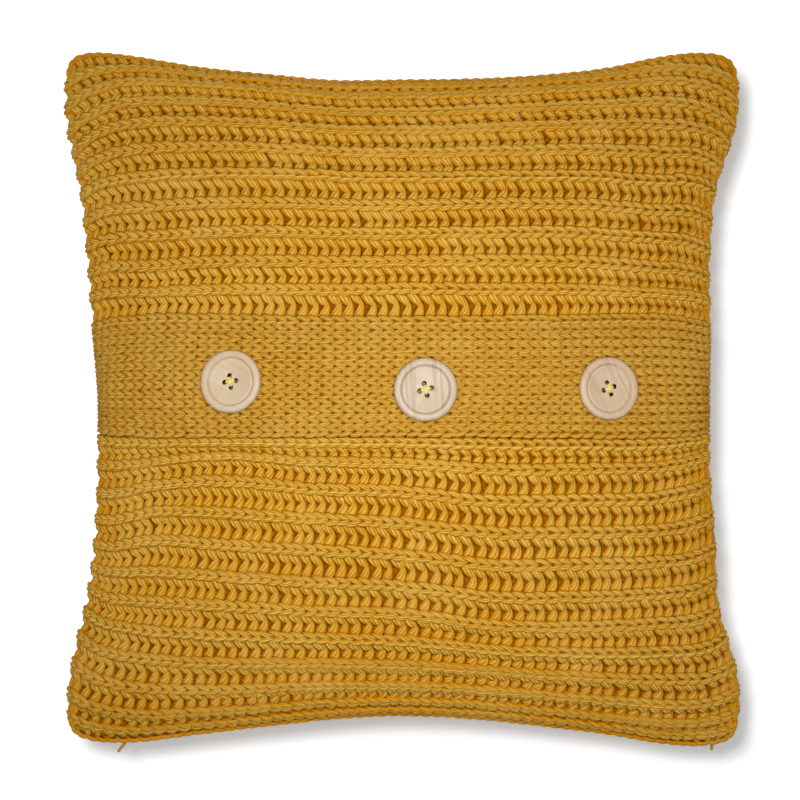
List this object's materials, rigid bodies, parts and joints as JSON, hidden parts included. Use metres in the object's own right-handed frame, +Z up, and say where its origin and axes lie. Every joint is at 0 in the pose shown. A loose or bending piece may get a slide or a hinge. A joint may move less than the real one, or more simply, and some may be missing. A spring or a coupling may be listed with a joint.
{
  "type": "knitted cushion with button band",
  "caption": "Square filled cushion in chunky ribbed knit, with drawn-in sides, rounded corners and a plain-knit band closed by round wooden buttons.",
  "frame": {"origin": "middle of the cushion's box, on the surface it lies on", "axes": "+Z up out of the buttoned front, +Y towards the top fold, +X towards the right side seam seen from the front"},
  "size_m": [0.4416, 0.452, 0.1357],
  "materials": {
    "knit": "chunky mustard knit, soft and matte",
    "wood": "pale bare wood, smooth, satin",
    "thread": "light yellow sewing thread, matte"
  },
  "bodies": {
    "root": {"cushion_body": "knit", "button_band": "knit", "button_left": "wood", "button_middle": "wood", "button_right": "wood", "button_thread_left": "thread", "button_thread_middle": "thread", "button_thread_right": "thread"}
  },
  "joints": []
}
